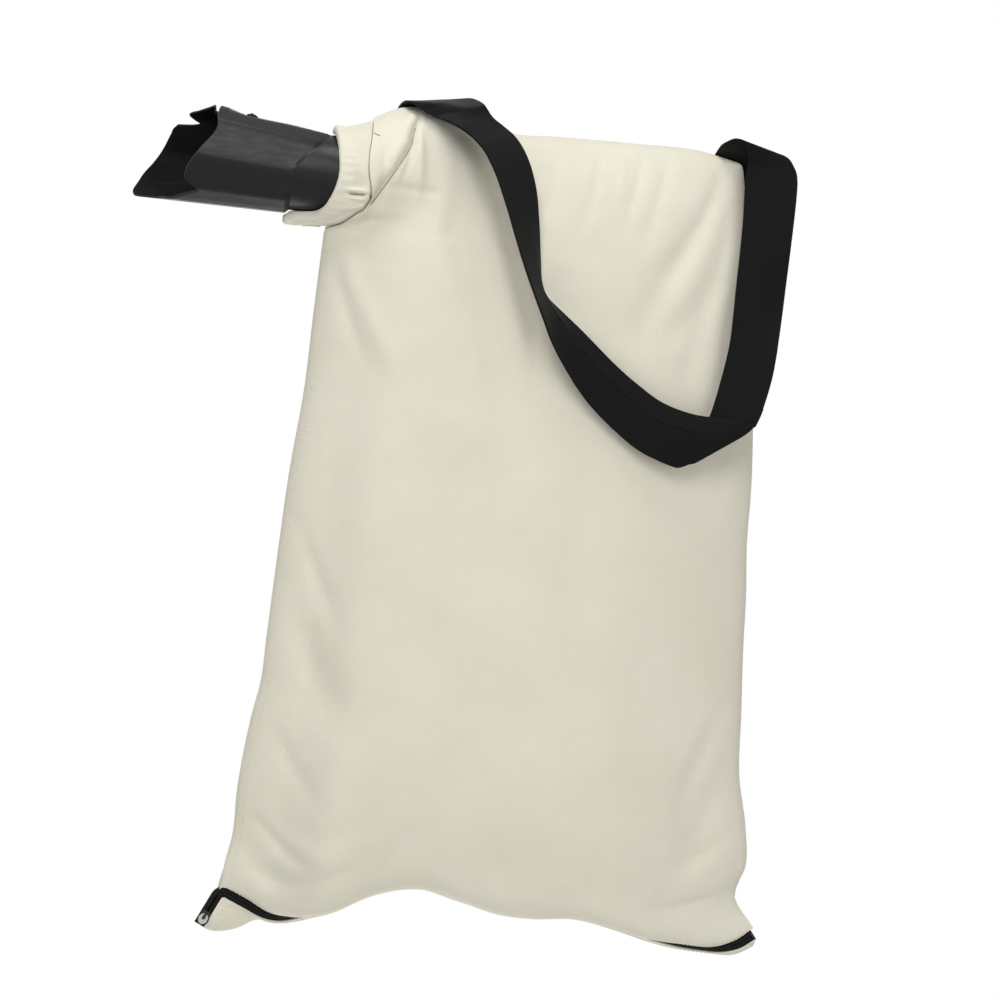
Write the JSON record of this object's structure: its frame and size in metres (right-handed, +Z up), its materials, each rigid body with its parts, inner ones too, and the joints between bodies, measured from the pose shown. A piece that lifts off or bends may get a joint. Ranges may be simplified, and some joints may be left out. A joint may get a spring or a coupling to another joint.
{
  "type": "blower vacuum collection bag",
  "caption": "Canvas bag that gathers the leaves from a blower vacuum, with a moulded plastic inlet duct, a zip along the bottom and a shoulder strap.",
  "frame": {"origin": "centre of the inlet duct's mouth, where the bag plugs into the machine that holds it up", "axes": "+Z up as the bag hangs, +X from the duct across the bag, +Y from its front to its back"},
  "size_m": [0.5023, 0.1524, 0.6517],
  "materials": {
    "duct_plastic": "satin black moulded plastic",
    "canvas": "undyed cream cotton canvas",
    "seam_thread": "cream stitched seam",
    "zip_tape": "woven black tape",
    "zip_coil": "black nylon coil",
    "zip_metal": "black enamelled metal",
    "zip_pull": "dull grey metal",
    "webbing": "woven black webbing"
  },
  "bodies": {
    "bag": {"back_panel": "canvas", "elastic_hem": "canvas", "front_panel": "canvas", "inlet_duct": "duct_plastic", "left_side_seam": "seam_thread", "neck_sleeve": "canvas", "right_side_seam": "seam_thread", "shoulder_strap": "webbing", "top_seam": "seam_thread", "zip_coil_back": "zip_coil", "zip_coil_front": "zip_coil", "zip_end_stop": "zip_metal", "zip_stop_back": "zip_metal", "zip_stop_front": "zip_metal", "zip_tape_back": "zip_tape", "zip_tape_front": "zip_tape"},
    "slider": {"zip_slider": "zip_metal"},
    "pull": {"zip_pull": "zip_pull"}
  },
  "joints": [
    {"name": "zip_slide", "type": "slide", "parent": "bag", "child": "slider", "axis": [0.5195, 0, 0.8545], "range_m": [0, 0.012]},
    {"name": "pull_turn", "type": "hinge", "parent": "slider", "child": "pull", "pos_m": [0.02731, -0.00635, -0.58407], "axis": [-0.8545, 0, 0.5195], "range_deg": [0, 120]}
  ]
}
